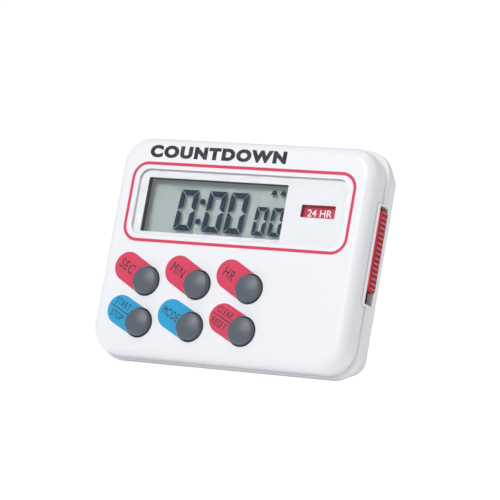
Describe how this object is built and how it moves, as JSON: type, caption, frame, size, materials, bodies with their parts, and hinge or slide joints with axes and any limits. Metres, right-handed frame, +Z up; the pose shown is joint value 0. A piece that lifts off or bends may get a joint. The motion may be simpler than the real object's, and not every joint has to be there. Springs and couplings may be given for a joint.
{
  "type": "kitchen timer",
  "caption": "Small upright digital kitchen timer: white case, display window, round push buttons, ribbed side slider and a fold-out stand.",
  "frame": {"origin": "middle of the standing timer's footprint box, on the surface it stands on", "axes": "+X to the timer's right as its user sees it, +Y from its face to its back, +Z up; the case leans back by 20 degrees about X"},
  "size_m": [0.0806, 0.036, 0.0598],
  "materials": {
    "white_case": "white ABS, satin gloss, fine moulded grain on the back",
    "clear_window": "clear acrylic, polished",
    "black_bezel": "black, matt",
    "lcd_glass": "display glass",
    "lcd_reflector": "grey-green reflector film",
    "red_plastic": "red ABS, satin",
    "grey_button": "dark grey, satin",
    "silicone": "grey silicone rubber, matt",
    "zebra_rubber": "striped conductive rubber",
    "circuit_board": "green board, solder mask",
    "black_epoxy": "black epoxy blob",
    "steel": "plated steel",
    "capacitor_sleeve": "blue sleeve",
    "resistor_body": "beige lacquer",
    "brass": "thin brass",
    "ceramic": "piezo ceramic",
    "red_wire": "insulated wire",
    "black_wire": "insulated wire",
    "battery_jacket": "printed metal jacket",
    "ferrite": "ferrite magnet"
  },
  "bodies": {
    "case": {"front_cover": "white_case", "rear_cover": "white_case", "window_lens": "clear_window", "lcd_bezel": "black_bezel", "lcd_front_glass": "lcd_glass", "lcd_rear_glass": "lcd_glass", "lcd_reflector": "lcd_reflector", "keypad_mat": "silicone", "zebra_strip": "zebra_rubber", "circuit_board": "circuit_board", "chip_cover": "black_epoxy", "crystal": "steel", "board_screw_1": "steel", "board_screw_2": "steel", "case_screw_1": "steel", "case_screw_2": "steel", "case_screw_3": "steel", "case_screw_4": "steel", "positive_contact": "steel", "negative_spring": "steel", "capacitor": "capacitor_sleeve", "resistor": "resistor_body", "buzzer_disc": "brass", "slide_contact": "brass", "buzzer_ceramic": "ceramic", "buzzer_wire_red": "red_wire", "buzzer_wire_black": "black_wire", "battery": "battery_jacket", "magnet_1": "ferrite", "magnet_2": "ferrite"},
    "mode_switch": {"mode_slider": "red_plastic", "mode_flag": "red_plastic"},
    "stand": {"stand": "white_case"},
    "battery_door": {"battery_door": "white_case"},
    "button_seconds": {"button_seconds": "grey_button"},
    "button_minutes": {"button_minutes": "grey_button"},
    "button_hours": {"button_hours": "grey_button"},
    "button_start_stop": {"button_start_stop": "grey_button"},
    "button_mode": {"button_mode": "grey_button"},
    "button_clear": {"button_clear": "grey_button"}
  },
  "joints": [
    {"name": "press_seconds", "type": "slide", "parent": "case", "child": "button_seconds", "axis": [0, 0.9397, -0.342], "range_m": [0, 0.001], "stiffness_N_per_m": 1500},
    {"name": "press_minutes", "type": "slide", "parent": "case", "child": "button_minutes", "axis": [0, 0.9397, -0.342], "range_m": [0, 0.001], "stiffness_N_per_m": 1500},
    {"name": "press_hours", "type": "slide", "parent": "case", "child": "button_hours", "axis": [0, 0.9397, -0.342], "range_m": [0, 0.001], "stiffness_N_per_m": 1500},
    {"name": "press_start_stop", "type": "slide", "parent": "case", "child": "button_start_stop", "axis": [0, 0.9397, -0.342], "range_m": [0, 0.001], "stiffness_N_per_m": 1500},
    {"name": "press_mode", "type": "slide", "parent": "case", "child": "button_mode", "axis": [0, 0.9397, -0.342], "range_m": [0, 0.001], "stiffness_N_per_m": 1500},
    {"name": "press_clear", "type": "slide", "parent": "case", "child": "button_clear", "axis": [0, 0.9397, -0.342], "range_m": [0, 0.001], "stiffness_N_per_m": 1500},
    {"name": "mode_slide", "type": "slide", "parent": "case", "child": "mode_switch", "axis": [0, -0.342, -0.9397], "range_m": [0, 0.0023]},
    {"name": "stand_fold", "type": "hinge", "parent": "case", "child": "stand", "pos_m": [-0.00028, 0.00831, 0.02899], "axis": [1, 0, 0], "range_deg": [-35, 0]},
    {"name": "door_slide", "type": "slide", "parent": "case", "child": "battery_door", "axis": [-1, 0, 0], "range_m": [0, 0.052]}
  ]
}
